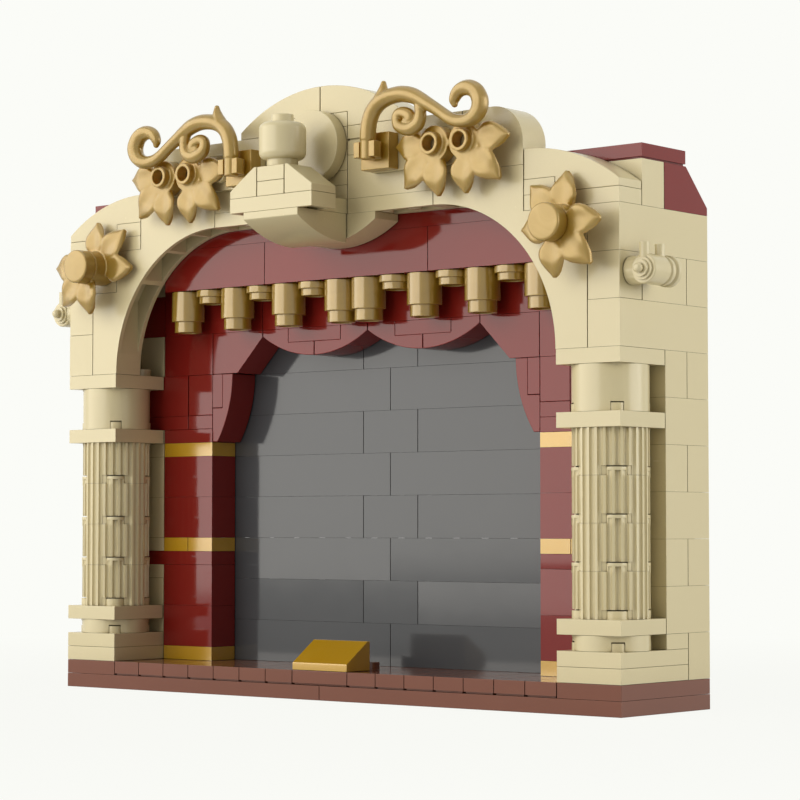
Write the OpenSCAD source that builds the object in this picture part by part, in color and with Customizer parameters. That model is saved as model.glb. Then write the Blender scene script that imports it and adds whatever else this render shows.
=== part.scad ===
// Building block theatre: a stage with arch, columns, curtain, gilt ornament and a bust,
// assembled from separate interlocking pieces. Origin at the centre of the underside,
// X along the stage, audience side at -Y, Z up.

/* [Building grid] */
// Distance between neighbouring studs
pitch = 8; // [7.6:0.1:8.8]
// Height of one plate, a third of a brick
plate_h = 3.2; // [3:0.1:3.6]
// Play left on each upright side of a piece
side_gap = 0.1; // [0.06:0.01:0.15]
// Play left under the piece stacked on top
stack_gap = 0.05; // [0.03:0.01:0.08]

/* [Studs and undersides] */
// Diameter of a stud
stud_d = 4.8; // [4.4:0.1:5]
// Height of a stud
stud_h = 1.7; // [1.4:0.1:1.8]
// Play between a stud and the walls, tubes and pins that hold it
stud_play = 0.1; // [0.05:0.01:0.15]
// Thickness of the top wall of a hollow piece
roof_t = 1.2; // [0.9:0.1:1.3]
// Bore of a hollow stud
stud_bore_d = 3.2; // [2.6:0.1:3.4]
// Height and depth of the groove around the foot of a tile
tile_groove = 0.35; // [0.2:0.05:0.5]

/* [Slopes and bows] */
// Height of the lip at the thin end of a slope or bow
lip_t = 1.6; // [1.2:0.1:2]
// Width of the flat crest of a small slope
crest_w = 0.8; // [0.4:0.1:1.5]

/* [Arches] */
// Depth of the channel under an arch
channel_t = 4; // [2:0.1:4.4]
// Thickness of a rib across that channel
rib_t = 0.8; // [0.6:0.1:1.4]
// Thickness of the two lips beside that channel
lip_wall = 1.1; // [0.9:0.1:1.5]
// Wall left over that channel at the crown of an arch
crown_wall = 2; // [1.2:0.1:2.3]

/* [Columns] */
// Number of flutes around a column
flute_count = 28; // [16:1:30]
// Diameter of the round cutter that leaves a flute
flute_d = 1.2; // [0.9:0.1:1.5]
// Width of the recess over each stud in the foot of a fluted brick
foot_notch_w = 6.2; // [5.4:0.1:7]
// Depth of that recess
foot_notch_t = 0.7; // [0.6:0.1:1]
// Wall of a round brick
round_wall = 1.5; // [1.2:0.1:1.8]

/* [Bust] */
// Diameter of the head
head_d = 10.2; // [9:0.1:11]
// Height of the head without neck and stud
head_h = 8.1; // [7.6:0.1:9.6]
// Radius of the head's rounded edges
head_edge_r = 1.6; // [0.8:0.1:2]
// Diameter of the neck
neck_d = 6.8; // [6.2:0.1:7.4]
// Height of the neck
neck_h = 1.5; // [0.6:0.1:1.6]

/* [Gilt ornament] */
// Diameter of the vine's bar, which turns in its clip
bar_d = 3.2; // [2.8:0.1:3.4]
// Play between the bar and its clip
bar_play = 0.06; // [0.03:0.01:0.1]
// Wall of the clip
clip_wall = 1.25; // [0.8:0.05:1.4]
// Height of the clip
clip_h = 3.4; // [2.8:0.1:3.8]
// Mouth of the clip
clip_mouth = 2.6; // [2.1:0.1:2.9]
// Distance from the clip plate's face to the bar's axis
clip_reach = 2.3; // [2.2:0.1:3]
// Distance from the bar's axis to the tips of the clip's arms
clip_lip = 1.3; // [1.1:0.1:1.6]
// Distance from the middle of the clip down to the foot of the bar
bar_foot = 2.1; // [1.8:0.1:3]
// Distance from a leaf plate's axis to the tip of its long leaf
leaf_reach = 12.2; // [10:0.1:12.6]
// Distance to the tips of its two short leaves
short_leaf_reach = 11; // [9:0.1:11.2]
// Width of a leaf
leaf_w = 6.8; // [5:0.1:7.2]
// Thickness of a leaf
leaf_t = 1.3; // [1.1:0.1:1.3]
// Angle between neighbouring leaves
leaf_spread = 47; // [44:1:52]
// Angle by which the leaves lean forwards
leaf_lean = 1.5; // [0.5:0.5:1.5]
// Height of a leaf's back over the foot of its plate, clear of the next stud
leaf_rise = 1.75; // [1.74:0.01:1.76]
// Stem radius near the vine's clip; the rest of the stem tapers with it
stem_r = 1.75; // [1.5:0.05:1.9]

/* [Bracket and drapes] */
// Thickness of the bracket's upright face
bracket_t = 1.6; // [1.2:0.1:2]
// Diameter of a tassel's narrow foot
tassel_foot_d = 6.4; // [5.8:0.1:7]

/* [Side fittings] */
// Distance from the wall to the axis of a side fitting
fitting_out = 4.5; // [4.3:0.1:6]
// Diameter of a side fitting's barrel
fitting_d = 6; // [5.8:0.1:6.4]
// Diameter of the neck that grips the wall's stud
fitting_neck_d = 5.7; // [5.5:0.05:5.75]
// Diameter of its upright pegs
fitting_peg_d = 2; // [1.4:0.1:2.4]
// Height of the pegs' tops above its axis
fitting_peg_h = 5.3; // [4.4:0.1:6]
// Where the pegs stand along the barrel, from the wall stud's axis
fitting_peg_places = [-1.9, 3.5];

/* [Hidden] */
$fn = 48;

// Colours as the photograph shows them
tan = [0.87, 0.79, 0.60];
gold = [0.72, 0.52, 0.20];
gilt = [0.66, 0.52, 0.10];
red = [0.42, 0.05, 0.06];
grey = [0.36, 0.37, 0.38];
brown = [0.38, 0.17, 0.13];

// The grid in whole studs: from the centre line to either end, and from the audience to the back
half_count = 10;
row_count = 4;
front_row = 0;
header_row = 1;
curtain_row = 2;
rear_row = 3;
bust_row = -2;

// Where things start on either side, in studs from the centre line
end_x = half_count - 1;
wall_x = half_count - 2;
shoulder_x = half_count - 3;
leg_x = half_count - 4;
arch_x = half_count - 6;
swag_x = half_count - 8;
arch_count = wall_x - arch_x;
roof_count = 5;

// Levels in plates above the table, each from the one below it
brick = 3;
floor_z = 2;
plinth_top = floor_z + 2;
shaft_foot = plinth_top + 2;
shaft_top = shaft_foot + 4 * brick;
drum_top = shaft_top + 1 + brick;
capital_top = drum_top + 1;
swag_top = capital_top + brick;
fringe_top = swag_top + brick;
eaves_z = fringe_top + brick;
crown_z = eaves_z + 1;
arch_top = eaves_z + brick;
ornament_z = arch_top + 1;
frieze_z = ornament_z + 1;
pediment_z = frieze_z + 2;
// The foot of a wall's course, counted from the stage floor
function course(k) = floor_z + k * brick;

pitch_level = pitch / plate_h;  // one stud's pitch, in plates
side_stud_level = 1.75;  // height of a side stud's axis above the foot of its brick
bracket_stud_level = frieze_z + 1 - pitch_level / 2;

wall_t = (pitch - stud_d) / 2 - stud_play;
tube_r = pitch * sqrt(2) / 2 - stud_d / 2 - stud_play;
pin_r = pitch / 2 - stud_d / 2 - stud_play;
socket_d = stud_d + stud_play;
socket_h = stud_h + 0.2;
window_d = socket_d + 0.15;
round_d = 2 * pitch - 2 * side_gap;
small_round_d = pitch - 2 * side_gap;
bite = 0.4;  // how far a stud, tube or pin runs into the wall that carries it

// A place in studs from the centre line and the audience edge, and in plates from the table
module place(x, y, z) {
    translate([x * pitch, (y - row_count / 2) * pitch, z * plate_h]) children();
}

// The same thing on both ends of the stage
module both() {
    children();
    mirror([1, 0, 0]) children();
}

// Turns a one-stud piece about its own upright axis
module turned(angle) {
    translate([pitch / 2, pitch / 2, 0]) rotate(angle) translate([-pitch / 2, -pitch / 2, 0]) children();
}

// Turns a piece built on the XY plane so that its top faces the audience
module facing_front() {
    rotate([90, 0, 0]) children();
}

// An upright outline in X and Z, as deep as given
module side_profile(depth) {
    translate([0, depth, 0]) rotate([90, 0, 0]) linear_extrude(depth) children();
}

module studs(nx, ny, h) {
    for (i = [0 : nx - 1], j = [0 : ny - 1])
        translate([(i + 0.5) * pitch, (j + 0.5) * pitch, h - bite]) cylinder(d = stud_d, h = stud_h + bite);
}

// The tubes or pins under a hollow piece, from its foot up into its top wall
module grips(nx, ny, h) {
    run = h - roof_t + bite;
    if (nx > 1 && ny > 1)
        for (i = [1 : nx - 1], j = [1 : ny - 1])
            translate([i * pitch, j * pitch, 0]) difference() {
                cylinder(r = tube_r, h = run);
                translate([0, 0, -1]) cylinder(d = stud_d, h = h - roof_t + 1);
            }
    else {
        long = max(nx, ny);
        if (long > 1)
            for (i = [1 : long - 1])
                translate(nx > ny ? [i * pitch, pitch / 2, 0] : [pitch / 2, i * pitch, 0])
                    cylinder(r = pin_r, h = run);
    }
}

module body(nx, ny, h) {
    translate([side_gap, side_gap, 0]) cube([nx * pitch - 2 * side_gap, ny * pitch - 2 * side_gap, h]);
}

module cavity(nx, ny, h) {
    translate([wall_t, wall_t, -1]) cube([nx * pitch - 2 * wall_t, ny * pitch - 2 * wall_t, h + 1]);
}

// A studded brick or plate, nz plates high
module block(nx, ny, nz, gripped = true) {
    h = nz * plate_h - stack_gap;
    difference() {
        body(nx, ny, h);
        cavity(nx, ny, h - roof_t);
    }
    studs(nx, ny, h);
    if (gripped) grips(nx, ny, h);
}

// The thin groove around a tile's foot
module foot_groove(nx, ny) {
    w = nx * pitch;
    d = ny * pitch;
    inset = side_gap + tile_groove;
    difference() {
        translate([-1, -1, -1]) cube([w + 2, d + 2, tile_groove + 1]);
        translate([inset, inset, -2]) cube([w - 2 * inset, d - 2 * inset, tile_groove + 3]);
    }
}

// A smooth tile, or with studs a grooved plate
module tile(nx, ny, studded = false) {
    h = plate_h - stack_gap;
    difference() {
        body(nx, ny, h);
        cavity(nx, ny, h - roof_t);
        foot_groove(nx, ny);
    }
    grips(nx, ny, h);
    if (studded) studs(nx, ny, h);
}

// One brick with a stud on its audience side
module stud_brick(nx = 1) {
    block(nx, 1, brick);
    translate([nx * pitch / 2, side_gap + bite, side_stud_level * plate_h]) facing_front() cylinder(d = stud_d, h = stud_h + bite);
}

// The windows that a round brick leaves for the four studs below it
module stud_windows(d) {
    for (a = [45 : 90 : 315])
        rotate(a) translate([pitch * sqrt(2) / 2, 0, -1]) cylinder(d = d, h = socket_h + 1);
}

// A round piece two studs across, about its own axis
module round_block(nz, window = window_d) {
    h = nz * plate_h - stack_gap;
    difference() {
        cylinder(d = round_d, h = h, $fn = 96);
        translate([0, 0, -1]) cylinder(d = round_d - 2 * round_wall, h = h - roof_t + 1);
        stud_windows(window);
    }
    difference() {
        cylinder(r = tube_r, h = h - roof_t + bite);
        translate([0, 0, -1]) cylinder(d = stud_d, h = h - roof_t + 1);
    }
    translate([-pitch, -pitch, 0]) studs(2, 2, h);
}

// A fluted round brick; its flutes stop above a recess over each stud below
module fluted_brick() {
    h = brick * plate_h - stack_gap;
    difference() {
        round_block(brick, socket_d);
        for (i = [0 : flute_count - 1])
            rotate((i + 0.5) * 360 / flute_count) translate([round_d / 2, 0, -1]) cylinder(d = flute_d, h = h + 2, $fn = 24);
        for (a = [45 : 90 : 315])
            rotate(a) difference() {
                translate([round_d / 2 - 2, -foot_notch_w / 2, -1]) cube([3, foot_notch_w, socket_h + 1]);
                translate([0, 0, -2]) cylinder(d = round_d - 2 * foot_notch_t, h = socket_h + 3, $fn = 96);
            }
    }
}

// A bow: tall end at X = 0, curving down to a lip, its seat raised under the first stud
module bow_outline(length, rise, seat) {
    l = length * pitch - side_gap;
    h = rise * plate_h;
    r = (l * l + (h - lip_t) * (h - lip_t)) / (2 * (h - lip_t));
    difference() {
        intersection() {
            translate([side_gap, 0]) square([l - side_gap, h]);
            translate([0, h - r]) circle(r = r, $fn = 192);
        }
        if (seat > 0) translate([-1, -1]) square([pitch + 1, seat * plate_h + 1]);
    }
}

// A bow with hollows for the studs below it
module bow(length, rise, seat) {
    difference() {
        translate([0, side_gap, 0]) side_profile(pitch - 2 * side_gap) bow_outline(length, rise, seat);
        translate([wall_t, wall_t, seat * plate_h - 1]) cube([pitch - 2 * wall_t, pitch - 2 * wall_t, socket_h + 1]);
        translate([pitch + wall_t, wall_t, -1])
            cube([(length - 1) * pitch - 2 * wall_t, pitch - 2 * wall_t, socket_h - 0.1 + 1]);
    }
}

// A solid bow whose flat side carries studs, for hanging with that side up
module hanging_bow(length, rise, seat, width = 1) {
    translate([0, side_gap, 0]) side_profile(width * pitch - 2 * side_gap) bow_outline(length, rise, seat);
    for (i = [0 : length - 1], j = [0 : width - 1])
        translate([(i + 0.5) * pitch, (j + 0.5) * pitch, (i == 0 ? seat * plate_h : 0) - stud_h])
            cylinder(d = stud_d, h = stud_h + bite);
}

// A small slope two plates high, tall at X = 0
module small_slope(width) {
    h = 2 * plate_h;
    far = pitch - side_gap;
    difference() {
        translate([0, side_gap, 0]) side_profile(width * pitch - 2 * side_gap)
            polygon([[side_gap, 0], [far, 0], [far, lip_t], [side_gap + crest_w, h], [side_gap, h]]);
        translate([wall_t, wall_t, -1]) cube([pitch - 2 * wall_t, width * pitch - 2 * wall_t, socket_h + 1]);
    }
    if (width > 1)
        for (j = [1 : width - 1]) translate([pitch / 2, j * pitch, 0]) cylinder(r = pin_r, h = socket_h + bite);
}

module arch() {
    x0 = arch_x * pitch;
    span = arch_count * pitch;
    foot = capital_top * plate_h;
    depth = pitch - 2 * side_gap;
    channel_w = depth - 2 * lip_wall;
    channel_top = (arch_top - capital_top) * plate_h - stack_gap - crown_wall;
    difference() {
        union() {
            translate([x0 + side_gap, side_gap, foot])
                cube([span - pitch - 2 * side_gap, depth, (arch_top - capital_top) * plate_h - stack_gap]);
            translate([x0 + side_gap, side_gap, foot])
                cube([span - 2 * side_gap, depth, (eaves_z - capital_top) * plate_h - stack_gap]);
            translate([x0 + side_gap, side_gap, foot])
                cube([span + pitch - 2 * side_gap, depth, (fringe_top - capital_top) * plate_h - stack_gap]);
        }
        translate([x0, -1, foot]) rotate([-90, 0, 0]) cylinder(r = span, h = pitch + 2, $fn = 192);
        difference() {
            translate([x0, side_gap + lip_wall, foot]) rotate([-90, 0, 0])
                cylinder(r = span + channel_t, h = channel_w, $fn = 192);
            translate([x0, 0, foot]) cube([span + pitch, pitch, socket_h + roof_t]);
            translate([x0, 0, foot + channel_top]) cube([span + pitch, pitch, span + channel_t]);
            for (i = [1 : arch_count]) translate([x0 + i * pitch - rib_t / 2, 0, foot]) cube([rib_t, pitch, span + channel_t]);
            translate([x0, 0, foot]) cube([side_gap + wall_t, pitch, span + channel_t]);
        }
        translate([x0 + span + wall_t, wall_t, foot - 1]) cube([pitch - 2 * wall_t, pitch - 2 * wall_t, socket_h + 1]);
    }
    translate([x0, 0, 0]) studs(arch_count - 1, 1, arch_top * plate_h - stack_gap);
    translate([x0 + span - pitch, 0, 0]) studs(1, 1, eaves_z * plate_h - stack_gap);
    translate([x0 + span, 0, 0]) studs(1, 1, fringe_top * plate_h - stack_gap);
}

// A block four plates high and two studs long, rounded over at its far end
module rounded_block() {
    h = 4 * plate_h;
    r = pitch - side_gap;
    difference() {
        translate([0, side_gap, 0]) side_profile(pitch - 2 * side_gap) union() {
            translate([side_gap, 0]) square([pitch - side_gap, h]);
            translate([side_gap, 0]) square([2 * pitch - 2 * side_gap, h - r]);
            intersection() {
                translate([pitch, h - r]) circle(r = r, $fn = 96);
                translate([pitch - 1, h - r - 1]) square([r + 1, r + 1]);
            }
        }
        cavity(2, 1, h / 2);
    }
    grips(2, 1, h / 2 + roof_t);
}

// A plate with an upright face of four studs in front of it
module bracket() {
    h = plate_h - stack_gap;
    face_z = plate_h - pitch;
    block(2, 1, 1);
    translate([side_gap, -bracket_t, 0]) cube([2 * pitch - 2 * side_gap, bracket_t + wall_t / 2, h]);
    translate([-pitch + side_gap, -bracket_t, face_z]) cube([4 * pitch - 2 * side_gap, bracket_t, pitch - stack_gap]);
    for (i = [0 : 3])
        translate([(i - 0.5) * pitch, bite - bracket_t, face_z + pitch / 2]) facing_front() cylinder(d = stud_d, h = stud_h + bite);
}

module socket() {
    translate([0, 0, -1]) cylinder(d = socket_d, h = socket_h + 1);
}

// A plate with a clip for an upright bar, its back on the XY plane
module clip_plate() {
    bore_d = bar_d + 2 * bar_play;
    ring_d = bore_d + 2 * clip_wall;
    half = pitch / 2 - side_gap;
    axis_z = plate_h + clip_reach;
    difference() {
        union() {
            translate([-half, -half, 0]) cube([2 * half, 2 * half, plate_h]);
            translate([0, -clip_h / 2, axis_z]) rotate([-90, 0, 0]) cylinder(d = ring_d, h = clip_h);
            translate([-ring_d / 2, -clip_h / 2, axis_z]) cube([ring_d, clip_h, clip_lip]);
            translate([-ring_d / 4, -clip_h / 2, plate_h - bite]) cube([ring_d / 2, clip_h, clip_reach - bar_d / 2]);
        }
        socket();
        translate([0, -half, axis_z]) rotate([-90, 0, 0]) cylinder(d = bore_d, h = 2 * half);
        translate([-clip_mouth / 2, -half, axis_z]) cube([clip_mouth, 2 * half, ring_d]);
        translate([-ring_d, -half, axis_z + clip_lip]) cube([2 * ring_d, 2 * half, ring_d]);
    }
}

// Half the width of a leaf at a share of its length, as a share of its greatest half width
function leaf_half(u) = pow(max(0, sin(180 * pow(u, 0.85))), 0.75);

// One ovate leaf lying along +X
module leaf(reach) {
    root = stud_d / 2;
    l = reach - root;
    steps = [0 : 24];
    rotate([0, -leaf_lean, 0]) translate([root, 0, leaf_rise]) linear_extrude(leaf_t) polygon(concat(
        [for (i = steps) if (i > 0) [l * i / 24, -leaf_w / 2 * leaf_half(i / 24)]],
        [for (i = steps) if (i < 24) [l * (1 - (i + 1) / 24), leaf_w / 2 * leaf_half(1 - (i + 1) / 24)]]
    ));
}

// A round plate with three leaves, its back on the XY plane
module leaf_plate(angle) {
    h = plate_h - stack_gap;
    difference() {
        union() {
            cylinder(d = small_round_d, h = h);
            for (k = [-1 : 1]) rotate(angle + k * leaf_spread) leaf(k == 0 ? leaf_reach : short_leaf_reach);
            cylinder(d = stud_d, h = h + stud_h);
        }
        socket();
        cylinder(d = stud_bore_d, h = plate_h + stud_h + 1);
    }
}

module flower() {
    leaf_plate(135);
    translate([0, 0, plate_h]) leaf_plate(315);
    translate([0, 0, 2 * plate_h]) difference() {
        cylinder(d = small_round_d, h = plate_h);
        socket();
    }
}

// The vine's stem: outward and up from the middle of its clip, with the stem's radius as a share of stem_r
stem = [
    [0, 2.1, 1], [0.1, 4.2, 1], [0.6, 6.3, 1], [1.6, 8.3, 1], [3.3, 9.7, 1], [5.5, 10.5, 1], [7.9, 10.9, 1],
    [10.2, 10.8, 1], [12.4, 10.2, 0.98], [14.5, 9.2, 0.9], [16.6, 8, 0.82], [18.6, 6.8, 0.76], [20.5, 5.6, 0.74],
    [22, 4.7, 0.76], [23.5, 3.9, 0.76], [25.1, 3.6, 0.78], [26.7, 3.5, 0.84], [28.2, 3.8, 0.92],
    [29.6, 4.7, 0.98], [30.3, 6, 1.02], [30.4, 7.4, 1.03], [29.5, 9.1, 1], [28.4, 9.9, 0.98], [27.1, 10.3, 0.95],
    [25.6, 10.2, 0.86], [24.4, 9.5, 0.78], [23.8, 8.5, 0.68], [23.6, 7.8, 0.58], [23.7, 7.2, 0.42]
];
// The small curl under the stem
curl = [
    [13.9, 9.3, 0.6], [14.3, 7.9, 0.64], [14.6, 6.4, 0.66], [14.4, 5.1, 0.7], [13.6, 3.9, 0.74], [12, 3.3, 0.76],
    [10.2, 3.5, 0.74], [8.7, 4.4, 0.7], [8.2, 5.6, 0.62], [8.3, 6.5, 0.58], [9.3, 6.9, 0.56], [10.4, 6.5, 0.5],
    [11.2, 5.7, 0.4]
];
// The thorn on the stem: its foot, its height, and its radius at foot and tip
thorn_foot = [4.2, 10.3];
thorn_h = 4;
thorn_foot_r = 1.5;
thorn_tip_r = 0.45;
ring_sides = 12;
rings_per_span = 4;

function spline(a, b, c, d, t) =
    0.5 * (2 * b + (c - a) * t + (2 * a - 5 * b + 4 * c - d) * t * t + (3 * b - a - 3 * c + d) * t * t * t);
function held(list, i) = list[max(0, min(len(list) - 1, i))];
function smooth(list) = [
    for (i = [0 : len(list) - 2], k = [0 : rings_per_span - 1])
        spline(held(list, i - 1), list[i], list[i + 1], held(list, i + 2), k / rings_per_span),
    list[len(list) - 1]
];
function heading(path, i) = let (step = held(path, i + 1) - held(path, i - 1)) [step[0], step[1]] / norm([step[0], step[1]]);
function ring(path, i) = let (p = path[i], t = heading(path, i), r = p[2] * stem_r) [
    for (s = [0 : ring_sides - 1]) let (a = 360 * s / ring_sides)
        [p[0] - r * sin(a) * t[1], r * cos(a), p[1] + r * sin(a) * t[0]]
];

// A round tube along a list of points in the upright plane
module swept(list) {
    path = smooth(list);
    last = len(path) - 1;
    n = ring_sides;
    polyhedron(
        points = [for (i = [0 : last]) each ring(path, i)],
        faces = concat(
            [[for (s = [0 : n - 1]) s]],
            [for (i = [0 : last - 1], s = [0 : n - 1]) each [
                [i * n + s, (i + 1) * n + (s + 1) % n, i * n + (s + 1) % n],
                [i * n + s, (i + 1) * n + s, (i + 1) * n + (s + 1) % n]
            ]],
            [[for (s = [n - 1 : -1 : 0]) last * n + s]]
        )
    );
}

// A vine about its bar's axis and the middle of its clip, running out along +X
module vine() {
    translate([0, 0, -bar_foot]) cylinder(d = bar_d, h = bar_foot + stem[0][1] + 0.5);
    swept(stem);
    swept(curl);
    translate([thorn_foot[0], 0, thorn_foot[1]]) cylinder(r1 = thorn_foot_r, r2 = thorn_tip_r, h = thorn_h);
}

// The turned barrel of a side fitting, about Z, with its stud's axis at Z = 0
module fitting_barrel() {
    r = fitting_d / 2;
    rotate_extrude($fn = 64) polygon([
        [0, -5.1], [0.6, -4.95], [0.95, -4.5], [1, -4.1], [0.9, -3.6], [1.7, -3.6], [1.7, -3], [2.25, -3],
        [2.25, -2.4], [r - 0.2, -2.4], [r, -2.1], [r, 3], [r - 0.4, 3.2], [r - 0.4, 3.8], [r, 4], [r, 4.9],
        [r - 0.4, 5.1], [r - 0.4, 5.5], [r + 0.2, 5.8], [r + 0.2, 6.9], [r - 0.1, 7.2], [0, 7.2]
    ]);
}

// A side fitting on a stud that points along +X from the origin
module side_fitting() {
    difference() {
        union() {
            translate([stack_gap, 0, 0]) rotate([0, 90, 0]) cylinder(d = fitting_neck_d, h = fitting_out);
            translate([fitting_out, 0, 0]) rotate([-90, 0, 0]) fitting_barrel();
            for (y = fitting_peg_places) translate([fitting_out, y, 0]) cylinder(d = fitting_peg_d, h = fitting_peg_h);
        }
        rotate([0, 90, 0]) socket();
    }
}

// A tassel of the fringe, nz plates long, with its stud up
module tassel(nz) {
    h = nz * plate_h - stack_gap;
    foot_h = min(0.8 * plate_h, h / 2);
    translate([pitch / 2, pitch / 2, 0]) difference() {
        union() {
            cylinder(d = tassel_foot_d, h = h);
            translate([0, 0, foot_h]) cylinder(d = small_round_d, h = h - foot_h);
            cylinder(d = stud_d, h = h + stud_h);
        }
        socket();
    }
}

module base_plates() color(brown) both() place(0, 0, 0) block(half_count, row_count, 1);

module stage_corner_plates() color(brown) both() place(wall_x, 0, 1) block(2, row_count, 1);

module stage_tiles() color(brown) both() {
    for (x = [1 : leg_x - 1]) place(x, front_row, 1) tile(1, 3);
    for (x = [leg_x, leg_x + 1]) place(x, front_row, 1) tile(1, 2);
}

module stage_rear_plates() color(brown) both() place(0, rear_row, 1) block(wall_x, 1, 1);

module stage_seat_plates() color(brown) {
    place(-1, front_row, 1) tile(2, 2, studded = true);
    both() place(leg_x, curtain_row, 1) block(2, 1, 1);
}

module stage_centre_tile() color(brown) place(-1, curtain_row, 1) tile(2, 1);

module prompter_box() color(gilt) place(-1, header_row, floor_z) rotate(-90) small_slope(2);

module column_plinths() color(tan) both() for (z = [floor_z, floor_z + 1]) place(wall_x, 0, z) block(2, 3, 1);

module column_base_rounds() color(tan) both() place(end_x, 1, plinth_top) round_block(1);

module column_square_plates() color(tan) both()
    for (z = [shaft_foot - 1, shaft_top, drum_top]) place(wall_x, 0, z) block(2, 2, 1);

module fluted_column_bricks() color(tan) both()
    for (z = [shaft_foot : brick : shaft_top - brick]) place(end_x, 1, z) fluted_brick();

module column_drums() color(tan) both() place(end_x, 1, shaft_top + 1) round_block(brick);

module side_wall_bricks() color(tan) both() {
    place(wall_x, rear_row, course(0)) block(2, 1, brick);
    for (k = [1, 3]) place(wall_x, curtain_row, course(k)) block(2, 2, brick);
    place(end_x, curtain_row, course(2)) block(1, 1, brick);
    place(wall_x, rear_row, course(2)) block(2, 1, brick);
    for (y = [curtain_row, rear_row]) place(wall_x, y, course(4)) block(2, 1, brick);
    place(end_x, curtain_row, course(5)) block(1, 2, brick);
    place(wall_x, rear_row, course(5)) block(1, 1, brick);
    place(end_x, curtain_row, course(6)) block(1, 1, brick);
    place(wall_x, rear_row, course(6)) block(2, 1, brick);
}

module side_wall_plates() color(tan) both() {
    place(wall_x, curtain_row, plinth_top) block(2, 1, 1);
    for (z = [course(2), course(3) - 1, course(5), course(5) + 1]) place(wall_x, curtain_row, z) block(1, 1, 1);
}

module upper_wall_bricks() color(tan) both() {
    place(end_x, front_row, capital_top) block(1, row_count, brick);
    place(end_x, 1, swag_top) block(1, 2, brick);
    place(end_x, rear_row, swag_top) block(1, 1, brick);
    place(end_x, front_row, fringe_top) block(1, row_count, brick);
    for (z = [capital_top, fringe_top]) place(wall_x, curtain_row, z) block(1, 2, brick);
    place(wall_x, rear_row, swag_top) block(1, 1, brick);
}

module ornament_stud_bricks() color(tan) both() {
    place(end_x, front_row, swag_top) turned(90) stud_brick();
    place(wall_x, front_row, fringe_top) stud_brick();
}

module arch_right() color(tan) place(0, 0, 0) arch();

module arch_left() color(tan) mirror([1, 0, 0]) place(0, 0, 0) arch();

module shoulder_plates() color(tan) both() {
    place(shoulder_x, front_row, eaves_z) block(3, 1, 1);
    place(shoulder_x, front_row, crown_z) block(1, 1, 1);
}

module curved_slopes() color(tan) both() {
    place(shoulder_x, front_row, crown_z) bow(3, brick, 1);
    place(0, front_row, pediment_z) bow(3, brick, 1);
}

module rounded_top_blocks() color(tan) both() place(arch_x + 1, front_row, arch_top) rounded_block();

module crown_plates() color(tan) both() place(1, front_row, crown_z) block(arch_x - 1, 1, 1);

module crown_centre_plate() color(tan) place(-1, -1, crown_z) block(2, 2, 1);

module lintel_bricks() color(tan) both() place(1, front_row, crown_z + 1) block(arch_x - 1, 1, brick);

module lintel_fillers() color(tan) {
    for (z = [crown_z + 1, crown_z + 2]) place(-1, front_row, z) block(2, 1, 1);
    both() for (z = [arch_top, arch_top + 1]) place(arch_x, front_row, z) block(1, 1, 1);
}

module ornament_brackets() color(tan) both() place(arch_x - 1, front_row, frieze_z) bracket();

module frieze_plates() color(tan) {
    both() place(1, front_row, frieze_z) block(arch_x - 2, 1, 1);
    place(-1, front_row, pediment_z) block(2, 1, 1);
}

module frieze_tiles() color(tan) both() place(1, front_row, frieze_z + 1) tile(arch_x, 1);

module centre_boss_brick() color(tan) place(-1, front_row, ornament_z) stud_brick(2);

module centre_disc() color(tan) place(0, front_row, ornament_z + side_stud_level) facing_front() difference() {
    cylinder(d = round_d, h = plate_h, $fn = 96);
    socket();
    translate([0, 0, -1]) difference() {
        cylinder(d = round_d - 2 * round_wall, h = socket_h + 1);
        cylinder(r = tube_r, h = socket_h + 1);
    }
}

module bust_front_slope() color(tan) place(1, front_row, crown_z) rotate([180, 0, -90]) hanging_bow(2, 2, 0, 2);

module crown_half_bows() color(tan) both() place(0, 1, crown_z) rotate([180, 0, 0]) hanging_bow(2, 2, 0);

module bust_base_plate() color(tan) place(-1.5, bust_row, crown_z) block(3, 1, 1, gripped = false);

module bust_cheek_slopes() color(tan) both() place(0.5, bust_row, crown_z + 1) small_slope(1);

module bust_torso_plates() color(tan) for (z = [crown_z + 1, crown_z + 2]) place(-0.5, bust_row, z) block(1, 1, 1);

module bust_head() color(tan) place(0, bust_row + 0.5, ornament_z) {
    r = head_d / 2;
    e = head_edge_r;
    difference() {
        union() {
            cylinder(d = neck_d, h = neck_h + e);
            translate([0, 0, neck_h]) rotate_extrude($fn = 96) {
                square([r - e, head_h]);
                translate([0, e]) square([r, head_h - 2 * e]);
                for (z = [e, head_h - e]) translate([r - e, z]) circle(r = e, $fn = 48);
            }
            cylinder(d = stud_d, h = neck_h + head_h + stud_h);
        }
        socket();
    }
}

module vine_clips() color(gold) both()
    place(arch_x - 1.5, front_row, bracket_stud_level) translate([0, -bracket_t, 0]) facing_front() clip_plate();

module vine_right() color(gold) place(arch_x - 1.5, front_row, bracket_stud_level)
    translate([0, -bracket_t - plate_h - clip_reach, 0]) vine();

module vine_left() mirror([1, 0, 0]) vine_right();

module leaf_sprigs() color(gold) both() for (leaf_at = [[0.5, 225], [1.5, 315]])
    place(arch_x + leaf_at[0], front_row, bracket_stud_level)
        translate([0, -bracket_t, 0]) facing_front() leaf_plate(leaf_at[1]);

module flower_right() color(gold) place(wall_x + 0.5, front_row, fringe_top + side_stud_level) facing_front() flower();

module flower_left() mirror([1, 0, 0]) flower_right();

module side_fitting_right() color(tan) place(half_count, 0.5, swag_top + side_stud_level) side_fitting();

module side_fitting_left() mirror([1, 0, 0]) side_fitting_right();

module curtain_gold_plates() color(gilt) both() {
    for (z = [floor_z, course(5)]) place(leg_x, curtain_row, z) block(2, 1, 1);
    for (x = [leg_x, leg_x + 1]) place(x, curtain_row, course(3) - 1) block(1, 1, 1);
}

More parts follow.
